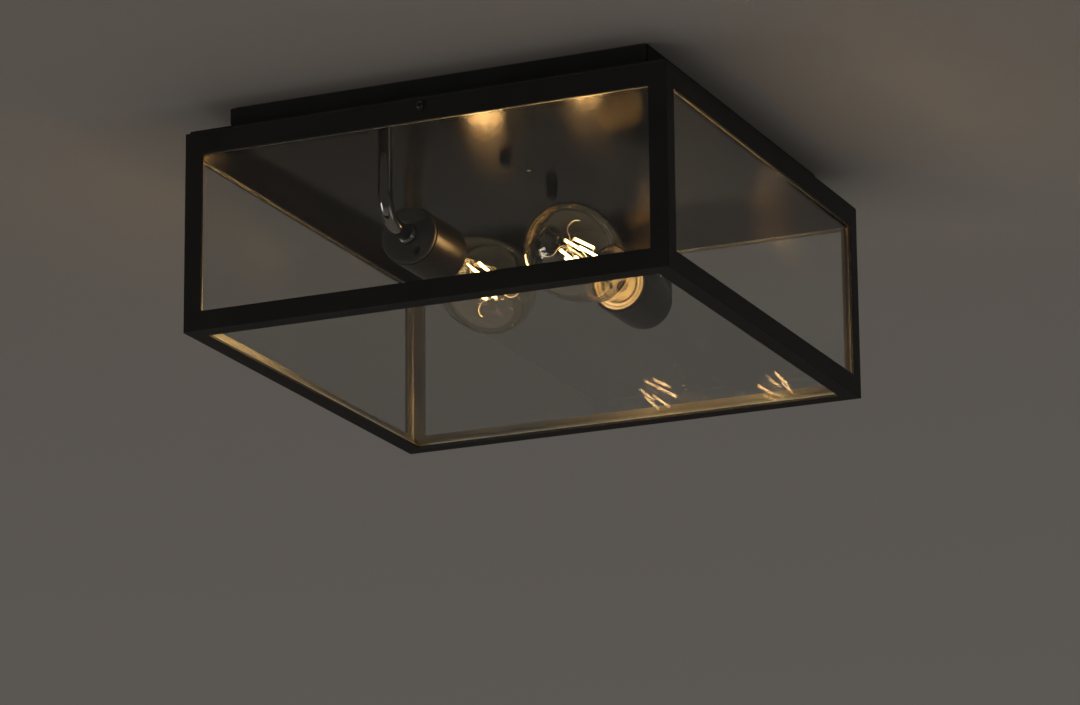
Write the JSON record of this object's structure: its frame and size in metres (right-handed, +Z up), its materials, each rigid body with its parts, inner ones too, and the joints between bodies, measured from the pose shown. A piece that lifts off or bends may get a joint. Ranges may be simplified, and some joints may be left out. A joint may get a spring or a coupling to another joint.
{
  "type": "porch ceiling lantern",
  "caption": "Square glazed metal cage hung under a shallow ceiling box, with bent arms that hold clear bulbs lying flat inside.",
  "frame": {"origin": "centre of the ceiling face, on top of the ceiling bar", "axes": "+Z up towards the ceiling, +Y from the front of the lantern to its back, +X to its right; the lantern hangs down to -Z"},
  "size_m": [0.35, 0.3548, 0.161],
  "materials": {
    "frame_black": "satin black powder coat, worn thin on the edges",
    "box_black": "satin black powder coat",
    "plate_dark": "dark satin metal with soft reflections",
    "zinc_steel": "zinc plated",
    "black_nickel": "glossy black nickel",
    "nut_dark": "dark plated",
    "screw_black": "black oxide",
    "holder_grey": "grey matte",
    "holder_bronze": "dark bronze",
    "porcelain": "cream glaze",
    "brass": "plain brass",
    "block_plastic": "moulded, off white",
    "sleeve": "woven glass sleeve",
    "solder": "dull solder",
    "black_glass": "black glass, glossy",
    "nickel_cap": "nickel plated",
    "bulb_glass": "clear blown glass",
    "stem_glass": "clear glass",
    "wire_nickel": "bright wire",
    "filament": "glowing, warm white",
    "pane_glass": "clear float glass",
    "silicone": "clear silicone"
  },
  "bodies": {
    "ceiling_unit": {"canopy_box": "box_black", "reflector_plate": "plate_dark", "ceiling_bar": "zinc_steel", "mounting_studs": "zinc_steel", "stud_lock_nuts": "zinc_steel", "terminal_block": "block_plastic", "terminal_screws": "zinc_steel", "terminal_block_screw": "zinc_steel", "earth_screw": "brass", "arm_left": "black_nickel", "arm_right": "black_nickel", "arm_nuts": "black_nickel", "arm_collars": "black_nickel", "holder_end_left": "holder_grey", "holder_end_right": "holder_grey", "holder_cup_left": "holder_bronze", "holder_cup_right": "holder_bronze", "porcelain_left": "porcelain", "porcelain_right": "porcelain", "screw_shell_left": "brass", "screw_shell_right": "brass", "centre_contact_left": "brass", "centre_contact_right": "brass", "porcelain_screws": "zinc_steel", "lead_left": "sleeve", "lead_right": "sleeve"},
    "cage": {"corner_posts": "frame_black", "bottom_rails": "frame_black", "top_rail_front": "frame_black", "top_rail_back": "frame_black", "top_rails_side": "frame_black", "glass_front": "pane_glass", "glass_back": "pane_glass", "glass_left": "pane_glass", "glass_right": "pane_glass", "glass_bottom": "pane_glass", "glazing_seals": "silicone"},
    "bulb_thread_left": {"bulb_tip_left": "solder"},
    "bulb_left": {"bulb_insulator_left": "black_glass", "bulb_cap_left": "nickel_cap", "bulb_glass_left": "bulb_glass", "bulb_stem_left": "stem_glass", "bulb_wires_left": "wire_nickel", "bulb_filaments_left": "filament"},
    "bulb_thread_right": {"bulb_tip_right": "solder"},
    "bulb_right": {"bulb_insulator_right": "black_glass", "bulb_cap_right": "nickel_cap", "bulb_glass_right": "bulb_glass", "bulb_stem_right": "stem_glass", "bulb_wires_right": "wire_nickel", "bulb_filaments_right": "filament"},
    "nut_thread_front": {"cap_nut_washer_front": "nut_dark"},
    "nut_front": {"cap_nut_front": "nut_dark"},
    "nut_thread_back": {"cap_nut_washer_back": "nut_dark"},
    "nut_back": {"cap_nut_back": "nut_dark"},
    "screw_thread_front": {"side_washer_front": "screw_black"},
    "screw_front": {"side_screw_front": "screw_black"},
    "screw_thread_back": {"side_washer_back": "screw_black"},
    "screw_back": {"side_screw_back": "screw_black"}
  },
  "joints": [
    {"name": "cage_drop", "type": "slide", "parent": "ceiling_unit", "child": "cage", "axis": [0, 0, -1], "range_m": [0, 0.14]},
    {"name": "bulb_left_out", "type": "slide", "parent": "ceiling_unit", "child": "bulb_thread_left", "axis": [0, 1, 0], "range_m": [0, 0.0218]},
    {"name": "bulb_left_turn", "type": "hinge", "parent": "bulb_thread_left", "child": "bulb_left", "pos_m": [-0.0427, 0, -0.0904], "axis": [0, 1, 0], "range_deg": [0, 2160]},
    {"name": "bulb_right_out", "type": "slide", "parent": "ceiling_unit", "child": "bulb_thread_right", "axis": [0, -1, 0], "range_m": [0, 0.0218]},
    {"name": "bulb_right_turn", "type": "hinge", "parent": "bulb_thread_right", "child": "bulb_right", "pos_m": [0.0427, 0, -0.0904], "axis": [0, -1, 0], "range_deg": [0, 2160]},
    {"name": "cap_nut_front_out", "type": "slide", "parent": "ceiling_unit", "child": "nut_thread_front", "axis": [0, 0, -1], "range_m": [0, 0.0072]},
    {"name": "cap_nut_front_turn", "type": "hinge", "parent": "nut_thread_front", "child": "nut_front", "pos_m": [0, -0.0385, -0.0265], "axis": [0, 0, -1], "range_deg": [0, 3244]},
    {"name": "cap_nut_back_out", "type": "slide", "parent": "ceiling_unit", "child": "nut_thread_back", "axis": [0, 0, -1], "range_m": [0, 0.0072]},
    {"name": "cap_nut_back_turn", "type": "hinge", "parent": "nut_thread_back", "child": "nut_back", "pos_m": [0, 0.0385, -0.0265], "axis": [0, 0, -1], "range_deg": [0, 3244]},
    {"name": "side_screw_front_out", "type": "slide", "parent": "cage", "child": "screw_thread_front", "axis": [0, -1, 0], "range_m": [0, 0.00225]},
    {"name": "side_screw_front_turn", "type": "hinge", "parent": "screw_thread_front", "child": "screw_front", "pos_m": [0, -0.175, -0.027], "axis": [0, -1, 0], "range_deg": [0, 1624]},
    {"name": "side_screw_back_out", "type": "slide", "parent": "cage", "child": "screw_thread_back", "axis": [0, 1, 0], "range_m": [0, 0.00225]},
    {"name": "side_screw_back_turn", "type": "hinge", "parent": "screw_thread_back", "child": "screw_back", "pos_m": [0, 0.175, -0.027], "axis": [0, 1, 0], "range_deg": [0, 1624]}
  ],
  "couplings": [
    {"joint": "bulb_left_out", "follows": "bulb_left_turn", "m_per_rad": 0.00057773},
    {"joint": "bulb_right_out", "follows": "bulb_right_turn", "m_per_rad": 0.00057773},
    {"joint": "cap_nut_front_turn", "follows": "cap_nut_front_out", "rad_per_m": 7854},
    {"joint": "cap_nut_back_turn", "follows": "cap_nut_back_out", "rad_per_m": 7854},
    {"joint": "side_screw_front_turn", "follows": "side_screw_front_out", "rad_per_m": 12566},
    {"joint": "side_screw_back_turn", "follows": "side_screw_back_out", "rad_per_m": 12566}
  ]
}
